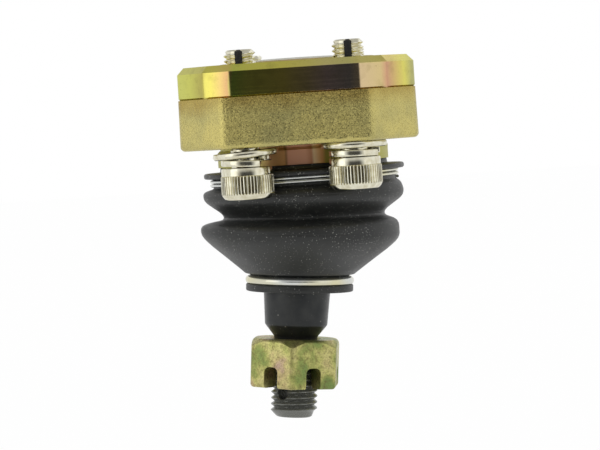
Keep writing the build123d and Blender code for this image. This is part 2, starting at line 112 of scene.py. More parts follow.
def tint(red, green, blue):
    """A colour as it is seen, from 0 to 255, as the shader takes it."""
    return (*((part / 255) ** 2.2 for part in (red, green, blue)), 1.0)


def new_finish(name):
    """An empty finish, and where the nodes of it start."""
    finish = bpy.data.materials.new(name)
    finish.use_nodes = True
    finish.node_tree.nodes.clear()
    return finish, Shade(finish.node_tree)


def grain(nodes, size, detail=2.0, stretch=(1, 1, 1)):
    """Soft noise from 0 to 1 whose lumps are about this many mm across, longer where stretched."""
    point = nodes.node("TexCoord", output="Object")
    scale = tuple(1 / (size * mm * part) for part in stretch)
    placed = nodes.node("Mapping", sockets={"Vector": point, "Scale": scale})
    return nodes.node("TexNoise", sockets={"Vector": placed, "Scale": 1.0, "Detail": detail})


def between(nodes, value, low, high, new_low=0.0, new_high=1.0):
    """Takes a value from one span to another, and keeps it there."""
    spans = {0: value, 1: low, 2: high, 3: new_low, 4: new_high}
    return nodes.node("MapRange", {"clamp": True}, spans)


def blended(nodes, share, first, second):
    """One colour over another by a share from 0 to 1."""
    return nodes.node("Mix", {"data_type": "RGBA"}, {0: share, 6: first, 7: second}, output=2)


def bumps(nodes, height, depth):
    """A surface that rises and falls by this many mm."""
    return nodes.node("Bump", sockets={"Strength": 1.0, "Distance": depth * mm, "Height": height})


def close_finish(nodes, sockets):
    surface = nodes.node("BsdfPrincipled", sockets=sockets)
    nodes.node("OutputMaterial", sockets={"Surface": surface})


def give_finish(finish, *nodes):
    """Puts a finish on the solids of these names."""
    for name in nodes:
        mesh = frame["nodes"][name].data
        mesh.materials.clear()
        mesh.materials.append(finish)


milled_zinc, nodes = new_finish("milled_yellow_zinc")
point = nodes.node("TexCoord", output="Object")
across = nodes.node("SeparateXYZ", sockets={"Vector": point}, output="X")
fore_and_aft = nodes.node("SeparateXYZ", sockets={"Vector": point}, output="Y")
from_edge = between(nodes, nodes.node("Math", {"operation": "ABSOLUTE"}, {0: fore_and_aft}), 0.027, 0.015, 0.08, 1.0)
drift = grain(nodes, 15, detail=2.0)
wander = (drift - 0.5) * from_edge * (40 * mm)
skin = nodes.node("ValToRGB", {"stops": [
    (0.00, tint(204, 206, 108)),
    (0.06, tint(204, 204, 100)),
    (0.115, tint(182, 172, 90)),
    (0.135, tint(216, 206, 104)),
    (0.16, tint(220, 208, 104)),
    (0.20, tint(218, 190, 116)),
    (0.232, tint(204, 162, 114)),
    (0.255, tint(160, 182, 84)),
    (0.31, tint(186, 184, 88)),
    (0.45, tint(196, 180, 92)),
    (0.55, tint(186, 166, 118)),
    (0.63, tint(184, 160, 150)),
    (0.73, tint(160, 150, 140)),
    (0.775, tint(206, 182, 142)),
    (0.86, tint(206, 184, 132)),
    (0.885, tint(204, 156, 124)),
    (0.92, tint(214, 190, 112)),
    (0.95, tint(222, 214, 106)),
    (0.985, tint(182, 180, 118)),
]}, {"Fac": (across + wander) * (1 / (60 * mm)) + 0.5})
up_and_down = nodes.node("SeparateXYZ", sockets={"Vector": point}, output="Z")
# Painted highlight: the chamfer and the top face are painted a lighter, stronger yellow, as light from above falls on
# them.
chamfer_painted_highlight = between(nodes, up_and_down, -1.9 * mm, -1.5 * mm, 0.0, 0.6)
skin = blended(nodes, chamfer_painted_highlight, skin, tint(214, 208, 96))
cutter_lines = grain(nodes, 0.35, detail=3.0, stretch=(60, 60, 1))
worn = grain(nodes, 2.5, detail=6.0)
pits = grain(nodes, 0.5, detail=1.0)
tarnish = between(nodes, worn, 0.52, 0.8, 0.0, 0.3) + between(nodes, pits, 0.70, 0.78, 0.0, 0.35)
close_finish(nodes, {
    "Base Color": blended(nodes, tarnish, skin, tint(122, 112, 62)),
    "Metallic": 1.0,
    "Roughness": between(nodes, cutter_lines, 0.3, 0.7, 0.12, 0.22),
    "Normal": bumps(nodes, cutter_lines * 0.8 + worn * 0.2, 0.006),
})
give_finish(milled_zinc, "clamp_plate")

# ---- Housing -----------------------------------------------------------------------------------
# Sand casting under the plate, machined only where the joint's body passes through it. The same
# passivated zinc lies over the grain of the mould, which makes it olive gold with a fine sparkle.

cast_zinc, nodes = new_finish("cast_yellow_zinc")
sand = grain(nodes, 0.62, detail=2.0)
fine_sand = grain(nodes, 0.33, detail=1.0)
patches = grain(nodes, 7.0, detail=5.0)
skin = blended(nodes, between(nodes, patches, 0.35, 0.68), tint(212, 198, 122), tint(186, 177, 116))
level = nodes.node("SeparateXYZ", sockets={"Vector": nodes.node("TexCoord", output="Object")}, output="Z")
# Darker and browner towards the top of the casting, just under the plate, with a ragged edge.
browner_towards_top = between(nodes, level + (patches - 0.5) * (6 * mm), -12.5 * mm, -8.4 * mm, 0.0, 0.6)
toned = blended(nodes, browner_towards_top, skin, tint(172, 142, 66))
hollows = blended(nodes, between(nodes, fine_sand, 0.5, 0.36, 0.0, 0.3), toned, tint(118, 104, 54))
close_finish(nodes, {
    "Base Color": hollows,
    "Metallic": 0.9,
    "Roughness": between(nodes, fine_sand, 0.3, 0.7, 0.22, 0.34),
    "Normal": bumps(nodes, sand * 0.6 + fine_sand * 0.4, 0.30),
})
give_finish(cast_zinc, "housing")

# ---- Joint body --------------------------------------------------------------------------------
# Turned steel barrel that holds the bearings, with a collar under the housing and a spigot for the
# boot. Its chromate is thicker and brown, with copper and olive bands that run up the collar; these
# bands are partly painted reflections, light and dark, placed across the barrel from side to side.

copper_chromate, nodes = new_finish("copper_chromate")
bands = grain(nodes, 5.0, detail=2.0, stretch=(1, 1, 12))
across = nodes.node("SeparateXYZ", sockets={"Vector": nodes.node("TexCoord", output="Object")}, output="X")
# Colour across the barrel from side to side: partly the chromate's copper, rose and olive, partly painted reflections,
# with a painted dark band near 0.335 and a painted highlight band near 0.65.
skin = nodes.node("ValToRGB", {"stops": [
    (0.00, tint(196, 192, 108)),
    (0.19, tint(224, 176, 124)),
    (0.31, tint(208, 156, 106)),
    (0.335, tint(160, 120, 82)),
    (0.365, tint(226, 166, 142)),
    (0.55, tint(230, 172, 146)),
    (0.62, tint(206, 146, 118)),
    (0.65, tint(244, 212, 172)),
    (0.70, tint(236, 188, 138)),
    (0.74, tint(222, 164, 110)),
    (0.77, tint(176, 162, 78)),
    (1.00, tint(200, 196, 110)),
]}, {"Fac": across * (1 / (24 * mm)) + 0.5 + (bands - 0.5) * 0.1})
level = nodes.node("SeparateXYZ", sockets={"Vector": nodes.node("TexCoord", output="Object")}, output="Z")
rim = between(nodes, level, -3 * mm, -1 * mm, 0.0, 0.8)
skin = blended(nodes, rim, skin, tint(186, 174, 116))
lathe_lines = grain(nodes, 0.2, stretch=(80, 80, 1))
close_finish(nodes, {
    "Base Color": skin,
    "Metallic": 0.55,
    "Roughness": between(nodes, lathe_lines, 0.3, 0.7, 0.40, 0.52),
    "Normal": bumps(nodes, lathe_lines, 0.006),
})
give_finish(copper_chromate, "joint_body")

# ---- Retaining ring and bearings ---------------------------------------------------------------
# A spring steel ring in the body's groove carries the housing. Inside, two halves of greased
# white plastic hold the ball, pressed together by a wave of spring steel under the cap.

spring_steel, nodes = new_finish("oiled_spring_steel")
scale_marks = grain(nodes, 1.2, detail=5.0)
close_finish(nodes, {
    "Base Color": blended(nodes, scale_marks, tint(96, 98, 104), tint(138, 136, 132)),
    "Metallic": 1.0,
    "Roughness": between(nodes, scale_marks, 0.3, 0.7, 0.24, 0.42),
    "Normal": bumps(nodes, scale_marks, 0.01),
})
give_finish(spring_steel, "retaining_ring", "preload_spring")

bearing_plastic, nodes = new_finish("greased_bearing_plastic")
grease = grain(nodes, 3.0, detail=4.0)
close_finish(nodes, {
    "Base Color": blended(nodes, between(nodes, grease, 0.4, 0.7), tint(226, 221, 204), tint(196, 176, 120)),
    "Roughness": between(nodes, grease, 0.3, 0.7, 0.2, 0.5),
    "Normal": bumps(nodes, grease, 0.03),
})
give_finish(bearing_plastic, "upper_bearing", "lower_bearing")

# ---- Closing cap -------------------------------------------------------------------------------
# Pressed steel cap that the body's rim is rolled over. It is plain grey zinc, satin, with the
# faint rings of the rolling tool.

grey_zinc, nodes = new_finish("satin_grey_zinc")
point = nodes.node("TexCoord", output="Object")
flattened = nodes.node("VectorMath", {"operation": "MULTIPLY"}, {0: point, 1: (1, 1, 0)})
from_axis = nodes.node("VectorMath", {"operation": "LENGTH"}, {0: flattened}, output="Value")
rings = nodes.node("Math", {"operation": "SINE"}, {0: from_axis * (tau / (0.55 * mm))})
spangle = grain(nodes, 1.5, detail=4.0)
close_finish(nodes, {
    "Base Color": blended(nodes, spangle, tint(150, 149, 132), tint(178, 176, 158)),
    "Metallic": 0.9,
    "Roughness": between(nodes, spangle, 0.3, 0.7, 0.30, 0.46),
    "Normal": bumps(nodes, rings * 0.5 + spangle, 0.012),
})
give_finish(grey_zinc, "closing_cap")

# ---- Cap screws --------------------------------------------------------------------------------
# Four nickel-plated M8 socket head screws come up through the housing into the plate's threads.
# The head is knurled for the fingers below a plain band, and its hexagon socket faces down.

places = ("front_left", "front_right", "rear_left", "rear_right")
head_radius, head_height = 6.635, 8.0
band_radius = 6.42
knurl_bars, knurl_depth, knurl_low, knurl_high = 52, 0.5, -6.7, -2.0
screw_radius, screw_root, screw_pitch = 4.0, 3.3, 1.25
screw_length = 29.29
strip_floor, strip_half_width = 3.1, 0.85


def put_down():
    """Leaves nothing selected and no mesh open."""
    if bpy.context.object and bpy.context.object.mode == "EDIT":
        bpy.ops.object.mode_set(mode="OBJECT")
    bpy.ops.object.select_all(action="DESELECT")


def turned(name, outline, sides, closed=False):
    """Turns a piece on the Z axis from the (radius, level) points of its outline, in mm."""
    put_down()
    radius, level = outline[0]
    bpy.ops.mesh.primitive_circle_add(vertices=sides, radius=radius * mm, location=(0, 0, level * mm))
    piece = bpy.context.object
    piece.name = name
    bpy.ops.object.transform_apply()
    bpy.ops.object.mode_set(mode="EDIT")
    bpy.ops.mesh.select_all(action="SELECT")
    for next_radius, next_level in outline[1:]:
        rise = (next_level - level) * mm
        bpy.ops.mesh.extrude_region_move(TRANSFORM_OT_translate={"value": (0, 0, rise)})
        growth = next_radius / radius
        bpy.ops.transform.resize(value=(growth, growth, 1), center_override=(0, 0, next_level * mm))
        radius, level = next_radius, next_level
    bpy.ops.mesh.select_all(action="SELECT")
    if closed:
        bpy.ops.mesh.remove_doubles(threshold=0.001 * mm)
    else:
        bpy.ops.mesh.fill_holes(sides=0)
    bpy.ops.mesh.select_all(action="SELECT")
    bpy.ops.mesh.normals_make_consistent(inside=False)
    bpy.ops.object.mode_set(mode="OBJECT")
    return piece


def evenly(radius, low, high, step):
    """Points of an outline up a plain cylinder, close enough together to cut a thread on."""
    count = round((high - low) / step)
    return [(radius, low + (high - low) * number / count) for number in range(count + 1)]


def cut_thread(piece, crest, root, pitch, low, high):
    """Cuts a right-hand thread between two levels of a turned piece."""
    for vertex in piece.data.vertices:
        x, y, z = vertex.co / mm
        radius = hypot(x, y)
        if low <= z <= high and radius > root:
            along = (z / pitch - atan2(y, x) / tau) % 1.0
            groove = min(max(2.5 * abs(along - 0.5) - 0.18, 0.0), 1.0)
            shrunk = min(radius, crest - (crest - root) * groove) / radius
            vertex.co.x *= shrunk
            vertex.co.y *= shrunk


def use_modifier(piece, kind, **settings):
    """Adds a modifier to a piece and applies it."""
    put_down()
    bpy.context.view_layer.objects.active = piece
    piece.select_set(True)
    modifier = piece.modifiers.new(kind.lower(), kind)
    for name, value in settings.items():
        setattr(modifier, name, value)
    bpy.ops.object.modifier_apply(modifier=modifier.name)


def cut_with(piece, cutter, operation="DIFFERENCE"):
    """Takes one piece out of another, or keeps only what they share, and clears the cutter away."""
    use_modifier(piece, "BOOLEAN", object=cutter, operation=operation, solver="EXACT")
    bpy.data.objects.remove(cutter)


def smooth(piece, angle=35):
    put_down()
    bpy.context.view_layer.objects.active = piece
    piece.select_set(True)
    bpy.ops.object.shade_smooth_by_angle(angle=radians(angle))


def finished(piece, finish, slot, body, *replaced):
    """Gives a piece its finish and its body, in place of the solids that it stands for."""
    piece.data.materials.clear()
    piece.data.materials.append(finish)
    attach(piece, body)
    if replaced:
        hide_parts(*replaced)


nickel, nodes = new_finish("bright_nickel_plate")
haze = grain(nodes, 1.6, detail=5.0)
pits = grain(nodes, 0.12, detail=2.0)
close_finish(nodes, {
    "Base Color": blended(nodes, between(nodes, haze, 0.35, 0.7), tint(232, 229, 208), tint(210, 203, 176)),
    "Metallic": 1.0,
    "Roughness": between(nodes, haze, 0.3, 0.7, 0.10, 0.20),
    "Normal": bumps(nodes, pits * 0.4 + haze * 0.6, 0.005),
})

screw_blank = turned("screw_blank", [
    (head_radius - 1.3, -head_height),
    (head_radius - 0.95, -7.9),
    (head_radius - 0.6, -7.55),
    (head_radius - 0.3, -7.15),
    (head_radius - 0.08, knurl_low),
    (head_radius, knurl_low + 0.2),
    *evenly(head_radius, knurl_low + 0.5, knurl_high - 0.5, 0.5),
    (head_radius - 0.03, knurl_high - 0.15),
    (band_radius, knurl_high),
    (band_radius, -0.45),
    (band_radius - 0.12, -0.12),
    (band_radius - 0.4, 0),
    *evenly(screw_radius - 0.3, 0, 7.0, 0.156),
    *evenly(screw_radius, 24.4, screw_length - 0.9, 0.125),
    (screw_radius - 0.5, screw_length - 0.35),
    (screw_radius - 0.9, screw_length),
], sides=knurl_bars * 4)
for vertex in screw_blank.data.vertices:
    x, y, z = vertex.co / mm
    radius, angle = hypot(x, y), atan2(y, x)
    if knurl_low + 0.1 < z < knurl_high - 0.1 and radius > head_radius - 0.1:
        side = round(angle / tau * knurl_bars * 4) % 4
        shrunk = 1 - (knurl_depth, 0.06, 0.0, 0.06)[side] / radius
        vertex.co.x *= shrunk
        vertex.co.y *= shrunk
cut_thread(screw_blank, screw_radius, screw_root, screw_pitch, 0.1, screw_length)
for vertex in screw_blank.data.vertices:
    x, y, z = vertex.co / mm
    if z > 15 and x > 0 and abs(y) < strip_half_width and x > strip_floor:
        vertex.co.x = strip_floor * mm
bpy.ops.mesh.primitive_cylinder_add(vertices=6, radius=6 / sqrt(3) * mm, depth=8 * mm, location=(0, 0, -head_height * mm))
key_form = bpy.context.object
cut_with(screw_blank, key_form)
smooth(screw_blank, 30)


def placed_copy(pattern, name, place):
    """A copy of a piece with a mesh of its own, moved in its mesh to a place."""
    piece = pattern.copy()
    piece.data = pattern.data.copy()
    piece.name = name
    bpy.context.collection.objects.link(piece)
    piece.data.transform(place)
    return piece


def middle(node):
    low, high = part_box(node)
    return (Vector(low) + Vector(high)) / 2


strip_turns = {}
for place in places:
    axis = middle(f"cap_screw_{place}")
    strip = middle(f"lock_strip_{place}") - axis
    strip_turns[place] = atan2(strip.y, strip.x)
    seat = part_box(f"cap_screw_{place}")[0][2] + head_height * mm
    upright = Matrix.Translation((axis.x, axis.y, seat)) @ Matrix.Rotation(strip_turns[place], 4, "Z")
    screw = placed_copy(screw_blank, f"knurled_screw_{place}", upright)
    finished(screw, nickel, "nickel_plate", "root", f"cap_screw_{place}")
bpy.data.objects.remove(screw_blank)

# ---- Locking strips ----------------------------------------------------------------------------
# A black nylon strip is pressed into a slot along each screw's thread, so that it doesn't shake
# loose. The plate's thread has printed its ridges across it.

black_nylon, nodes = new_finish("black_nylon")
scuffs = grain(nodes, 0.5, detail=3.0)
close_finish(nodes, {
    "Base Color": blended(nodes, between(nodes, scuffs, 0.5, 0.75), tint(22, 21, 18), tint(58, 54, 42)),
    "Roughness": between(nodes, scuffs, 0.3, 0.7, 0.35, 0.6),
    "Normal": bumps(nodes, scuffs, 0.02),
})

bpy.ops.mesh.primitive_cube_add(size=1)
strip_blank = bpy.context.object
strip_blank.scale = (0.78 * mm, 2 * strip_half_width * 0.94 * mm, 13.8 * mm)
strip_blank.location = ((strip_floor + 0.37) * mm, 0, (screw_length - 0.3 - 6.9) * mm)
bpy.ops.object.transform_apply()
bpy.ops.object.mode_set(mode="EDIT")
bpy.ops.mesh.select_all(action="SELECT")
bpy.ops.mesh.bevel(offset=0.12 * mm, segments=2, affect="EDGES")
bpy.ops.object.mode_set(mode="OBJECT")
smooth(strip_blank)
for place in places:
    axis = middle(f"cap_screw_{place}")
    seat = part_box(f"cap_screw_{place}")[0][2] + head_height * mm
    upright = Matrix.Translation((axis.x, axis.y, seat)) @ Matrix.Rotation(strip_turns[place], 4, "Z")
    strip = placed_copy(strip_blank, f"nylon_strip_{place}", upright)
    finished(strip, black_nylon, "black_nylon", "root", f"lock_strip_{place}")
bpy.data.objects.remove(strip_blank)

# ---- Washers -----------------------------------------------------------------------------------
# A plain washer lies against the casting, and a split spring washer on each screw's head, each
# still sprung open by its own amount. The front left plain washer hangs a little askew.

washer_bore, washer_edge = 4.2, 8.25
coil_inside, coil_outside, coil_thickness, coil_open = 4.2, 6.35, 1.6, 12.0
coil_splits = {"front_left": -55.0, "front_right": -20.0, "rear_left": 160.0, "rear_right": 75.0}
washer_tilt, washer_drop = radians(3.2), 0.75

plain_blank = turned("plain_blank", [
    (washer_bore, -0.55),
    (washer_bore + 0.25, -0.8),
    (washer_edge - 0.55, -0.8),
    (washer_edge - 0.15, -0.6),
    (washer_edge, -0.2),
    (washer_edge, 0.3),
    (washer_edge - 0.12, 0.65),
    (washer_edge - 0.4, 0.8),
    (washer_bore + 0.1, 0.8),
    (washer_bore, 0.7),
    (washer_bore, -0.55),
], sides=96, closed=True)
smooth(plain_blank, 40)
for place in places:
    lean = Matrix.Rotation(-washer_tilt, 4, "Y") if place == "front_left" else Matrix.Identity(4)
    drop = Matrix.Translation((0, 0, -washer_drop * mm)) if place == "front_left" else Matrix.Identity(4)
    centre = Matrix.Translation(middle(f"flat_washer_{place}"))
    washer = placed_copy(plain_blank, f"plain_washer_{place}", centre @ drop @ lean)
    finished(washer, nickel, "nickel_plate", "root", f"flat_washer_{place}")
bpy.data.objects.remove(plain_blank)

for place in places:
    low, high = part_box(f"lock_washer_{place}")
    spread = high[2] - low[2] - coil_thickness * mm
    put_down()
    bpy.ops.mesh.primitive_plane_add(size=1, rotation=(pi / 2, 0, 0))
    coil = bpy.context.object
    coil.name = f"split_washer_{place}"
    coil.scale = ((coil_outside - coil_inside) * mm, coil_thickness * mm, 1)
    coil.location = ((coil_outside + coil_inside) / 2 * mm, 0, coil_thickness / 2 * mm)
    bpy.ops.object.transform_apply()
    bpy.ops.object.mode_set(mode="EDIT")
    bpy.ops.mesh.select_all(action="SELECT")
    bpy.ops.mesh.delete(type="ONLY_FACE")
    use_modifier(coil, "SCREW", angle=radians(coil_open - 360), screw_offset=spread, steps=72, render_steps=72)
    bpy.ops.object.mode_set(mode="EDIT")
    bpy.ops.mesh.select_all(action="SELECT")
    bpy.ops.mesh.remove_doubles(threshold=0.001 * mm)
    bpy.ops.mesh.fill_holes(sides=4)
    bpy.ops.mesh.select_all(action="SELECT")
    bpy.ops.mesh.normals_make_consistent(inside=False)
    bpy.ops.object.mode_set(mode="OBJECT")
    use_modifier(coil, "BEVEL", width=0.22 * mm, segments=3, limit_method="ANGLE", angle_limit=radians(40))
    centre = middle(f"lock_washer_{place}")
    turn = Matrix.Rotation(radians(coil_splits[place]), 4, "Z")
    coil.data.transform(Matrix.Translation((centre.x, centre.y, low[2])) @ turn)
    smooth(coil, 40)
    finished(coil, nickel, "nickel_plate", "root", f"lock_washer_{place}")

# ---- Dust boot ---------------------------------------------------------------------------------
# Moulded rubber bellows with a flange under the collar and two folds. It is dusted with talc, and
# its mould left a fine parting line round each fold. Its lower end follows the stud's lean.

ball = Vector(frame["record"]["behaviour"]["joints"][0]["pos_m"])
stud_up = Vector(frame["record"]["behaviour"]["joints"][2]["axis"])
stud_lean = atan2(stud_up.x, stud_up.z)
boot_lean_share = 0.82
leaning = ((-31.0, 0.0), (-33.3, 1.7), (-39.8, 1.7), (-43.2, 4.2), (-46.0, 4.264), (-70.0, 4.264))
waist_level = -39.35
rubber_wall = 1.9


def leaned(angle):
    """Turns about the ball's centre, towards the side that the stud leans to."""
    return Matrix.Translation(ball) @ Matrix.Rotation(angle, 4, "Y") @ Matrix.Translation(-ball)


def lean_boot(piece):
    """Leans each round of a boot's piece, more from fold to fold, until it follows the stud."""
    for vertex in piece.data.vertices:
        level, degrees = vertex.co.z / mm, 0.0
        for (upper, less), (lower, more) in zip(leaning, leaning[1:]):
            share = min(max((upper - level) / (upper - lower), 0.0), 1.0)
            degrees += (more - less) * share * share * (3 - 2 * share)
        vertex.co = leaned(radians(degrees)) @ vertex.co


rubber, nodes = new_finish("dusty_black_rubber")
bloom = grain(nodes, 7.0, detail=4.0)
fine = grain(nodes, 0.35, detail=3.0)
specks = grain(nodes, 0.25, detail=0.0)
dusted = grain(nodes, 9.0, detail=2.0)
speck = between(nodes, specks + dusted * 0.12, 0.835, 0.865, 0.0, 1.0)
skin = blended(nodes, between(nodes, bloom, 0.35, 0.7), tint(36, 38, 37), tint(48, 49, 47))
close_finish(nodes, {
    "Base Color": blended(nodes, speck, skin, tint(196, 196, 188)),
    "Roughness": between(nodes, bloom, 0.3, 0.7, 0.38, 0.52),
    "Normal": bumps(nodes, fine, 0.03),
})

upper_outside = [
    (21.5, -26.02), (21.6, -26.95), (21.9, -27.18), (22.6, -27.22), (25.3, -27.25), (25.65, -27.35),
    (25.85, -27.6), (25.9, -27.9), (25.84, -28.35), (25.6, -28.6), (25.2, -28.66), (24.3, -28.7),
    (24.0, -28.8), (23.55, -28.95),
    (23.55, -30.85), (23.62, -31.15), (23.85, -31.38), (24.4, -31.65), (25.1, -32.1), (25.6, -32.7),
    (25.87, -33.3), (25.9, -33.55), (25.86, -33.62), (25.9, -33.7), (25.86, -34.2), (25.62, -34.9),
    (25.1, -35.55), (24.3, -36.2), (23.2, -37.0), (22.2, -37.7), (21.45, -38.3), (20.98, -38.85),
    (20.8, waist_level),
]
lower_outside = [
    (20.8, waist_level), (20.9, -39.75), (21.3, -40.1), (22.2, -40.38), (23.3, -40.68), (24.3, -41.1),
    (25.0, -41.65), (25.45, -42.35), (25.66, -43.1), (25.72, -43.55), (25.68, -43.62), (25.72, -43.7),
    (25.62, -44.3), (25.35, -45.0), (24.8, -45.75), (24.0, -46.55), (22.4, -47.95), (20.0, -49.8),
    (17.6, -51.7), (15.65, -53.25), (14.55, -54.15), (14.25, -54.42), (13.9, -54.55), (13.2, -54.6),
    (12.95, -54.8), (12.7, -55.15), (12.7, -56.9), (12.95, -57.12), (13.5, -57.16), (13.75, -57.25),
    (13.87, -57.45), (13.87, -58.7), (13.75, -58.95), (13.45, -59.05),
]


def hollow(outline, end):
    """An outline closed inside, a wall's thickness in, between its first level and its end's."""
    inside = [(max(radius - rubber_wall, end), level) for radius, level in reversed(outline)]
    return [*outline, *inside, outline[0]]


upper_boot = turned("boot_upper_fold", hollow(upper_outside, 20.5), sides=192, closed=True)
lean_boot(upper_boot)
smooth(upper_boot, 50)
upper_boot.data.materials.append(rubber)
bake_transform(upper_boot)
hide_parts("dust_boot")

lower_boot = turned("boot_lower_fold", hollow(lower_outside, 9.9), sides=192, closed=True)
lean_boot(lower_boot)
smooth(lower_boot, 50)
lower_boot.data.materials.append(rubber)
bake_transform(lower_boot)
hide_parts("dust_boot")

# ---- Boot wires --------------------------------------------------------------------------------
# Two sprung turns of bright wire hold the boot's top in its groove, and one ring of thicker wire
# holds its lower end to the stud. Both are drawn spring steel, thinly plated.

clip_wire, clip_pitch, clip_turns, clip_radius, clip_level = 0.4, 1.0, 2, 24.0, -29.9
ring_wire, ring_radius, ring_level = 1.13, 12.9, -56.15

drawn_wire, nodes = new_finish("drawn_plated_wire")
draw_marks = grain(nodes, 0.9, detail=4.0)
warmth = grain(nodes, 14.0, detail=1.0)
close_finish(nodes, {
    "Base Color": blended(nodes, between(nodes, warmth, 0.4, 0.6), tint(214, 216, 212), tint(220, 214, 176)),
    "Metallic": 0.95,
    "Roughness": between(nodes, draw_marks, 0.3, 0.7, 0.12, 0.24),
    "Normal": bumps(nodes, draw_marks, 0.008),
})

put_down()
bpy.ops.mesh.primitive_circle_add(vertices=20, radius=clip_wire * mm, rotation=(pi / 2, 0, 0))
clip = bpy.context.object
clip.name = "boot_clip_wire"
clip.location = (clip_radius * mm, 0, (clip_level - clip_turns * clip_pitch / 2) * mm)
bpy.ops.object.transform_apply()
use_modifier(clip, "SCREW", angle=tau * clip_turns, screw_offset=clip_pitch * clip_turns * mm, steps=256, render_steps=256)
bpy.ops.object.mode_set(mode="EDIT")
bpy.ops.mesh.select_all(action="SELECT")
bpy.ops.mesh.fill_holes(sides=0)
bpy.ops.mesh.select_all(action="SELECT")
bpy.ops.mesh.normals_make_consistent(inside=False)
bpy.ops.object.mode_set(mode="OBJECT")
smooth(clip, 40)
finished(clip, drawn_wire, "bright_wire", "root", "boot_clip_upper")

put_down()
bpy.ops.mesh.primitive_torus_add(
    major_segments=160, minor_segments=32, major_radius=ring_radius * mm, minor_radius=ring_wire * mm,
    location=(0, 0, ring_level * mm))
ring = bpy.context.object
ring.name = "boot_ring_wire"
bpy.ops.object.transform_apply()
ring.data.transform(leaned(boot_lean_share * stud_lean))
smooth(ring, 60)
finished(ring, drawn_wire, "bright_wire", "boot_ring", "boot_ring_lower")

# ---- Ball stud ---------------------------------------------------------------------------------
# Forged and turned steel, black phosphated and oiled. The ball sits in the body, the taper fits a
# knuckle's eye, and the thread below carries the nut and a cross hole for a cotter pin.

stud_thread, stud_root, stud_pitch, stud_tip = 6.0, 5.18, 1.55, 74.48
cotter_depth = 66.68 + 1.55
cotter_turn = radians(-90 - 2.9 - 30)

phosphate, nodes = new_finish("oiled_black_phosphate")
crystals = grain(nodes, 0.5, detail=4.0)
oil = grain(nodes, 5.0, detail=3.0)
rubbed = grain(nodes, 0.6, detail=0.0)
level = nodes.node("SeparateXYZ", sockets={"Vector": nodes.node("TexCoord", output="Object")}, output="Z")
# The threaded end is painted lighter than the rest of the stud: a painted sheen that stands in for the highlights on
# its crests.
threaded_end_painted_lighter = between(nodes, level, -76 * mm, -79 * mm)
plain = blended(nodes, between(nodes, oil, 0.35, 0.7), tint(48, 50, 51), tint(64, 65, 64))
skin = blended(nodes, threaded_end_painted_lighter, plain, tint(118, 119, 114))
dusty = between(nodes, rubbed + oil * 0.12, 0.87, 0.91, 0.0, 0.8)
close_finish(nodes, {
    "Base Color": blended(nodes, dusty, skin, tint(150, 148, 140)),
    "Metallic": 0.6,
    "Roughness": between(nodes, crystals, 0.3, 0.7, 0.28, 0.42) - threaded_end_painted_lighter * 0.1,
    "Normal": bumps(nodes, crystals, 0.012),
})

ball_round = [(12.5 * cos(radians(angle)), 12.5 * sin(radians(angle))) for angle in range(86, -58, -6)]
stud = turned("threaded_ball_stud", [
    *ball_round,
    (6.5, -10.68),
    (6.5, -21.0),
    (9.2, -32.5),
    (8.6, -42.1),
    (8.1, -50.3),
    (8.02, -50.6),
    (7.85, -50.85),
    (5.75, -53.5),
    (5.6, -53.8),
    (5.6, -60.9),
    *evenly(stud_thread, -(stud_tip - 1.6), -61.0, 0.129)[::-1],
    (4.7, -(stud_tip - 0.25)),
    (4.3, -stud_tip),
], sides=128)
cut_thread(stud, stud_thread, stud_root, stud_pitch, -stud_tip, -60.95)
bpy.ops.mesh.primitive_cylinder_add(
    vertices=40, radius=1.6 * mm, depth=20 * mm, location=(0, 0, -cotter_depth * mm),
    rotation=(0, pi / 2, 0))
drill = bpy.context.object
bpy.ops.object.transform_apply()
drill.data.transform(Matrix.Rotation(cotter_turn, 4, "Z"))
cut_with(stud, drill)
for way in (0, pi):
    put_down()
    bpy.ops.mesh.primitive_cone_add(
        vertices=40, radius1=3.1 * mm, radius2=0.6 * mm, depth=2.5 * mm,
        location=(5.7 * mm, 0, -cotter_depth * mm), rotation=(0, -pi / 2, 0))
    countersink = bpy.context.object
    bpy.ops.object.transform_apply()
    countersink.data.transform(Matrix.Rotation(cotter_turn + way, 4, "Z"))
    cut_with(stud, countersink)
stud.data.transform(leaned(stud_lean) @ Matrix.Translation(ball))
smooth(stud, 32)
finished(stud, phosphate, "black_phosphate", "stud", "ball_stud")

# ---- Slotted nut -------------------------------------------------------------------------------
# Forged hexagon nut, 22 mm across its flats, with six slots for a cotter pin at its lower end. Its
# zinc is passivated in green, yellow and rose, and worn grey along the edges. Its left faces are
# painted lighter and tanner and its right faces darker and greener: painted side light and shade.

nut_flats, nut_seat, nut_end, nut_bore = 22.0, 54.13, 66.68, 5.95
slot_width, slot_depth, slot_round = 4.1, 5.5, 1.4
corner_turn = radians(-92.9)

forged_zinc, nodes = new_finish("forged_yellow_zinc")
mottle = grain(nodes, 6.5, detail=6.0)
blotches = grain(nodes, 1.1, detail=5.0)
forging = grain(nodes, 0.4, detail=4.0)
# Shifted by side: the left faces lighter and tan, the right faces darker and greener, a painted side light and shade
# over the zinc's own mottle.
sideways_painted_light = nodes.node("SeparateXYZ", sockets={"Vector": nodes.node("TexCoord", output="Object")}, output="X")
skin = nodes.node("ValToRGB", {"stops": [
    (0.30, tint(126, 148, 86)),
    (0.39, tint(150, 160, 92)),
    (0.47, tint(192, 190, 116)),
    (0.55, tint(206, 198, 132)),
    (0.62, tint(198, 180, 128)),
    (0.70, tint(192, 164, 144)),
]}, {"Fac": mottle + between(nodes, sideways_painted_light, -8 * mm, -3 * mm, 0.04, -0.06)})
scale_marks = between(nodes, blotches, 0.48, 0.68, 0.0, 0.45) + between(nodes, forging, 0.46, 0.64, 0.0, 0.4)
close_finish(nodes, {
    "Base Color": blended(nodes, scale_marks, skin, tint(116, 106, 70)),
    "Metallic": 0.9,
    "Roughness": between(nodes, forging, 0.3, 0.7, 0.30, 0.48),
    "Normal": bumps(nodes, forging * 0.6 + blotches * 0.4, 0.06),
})

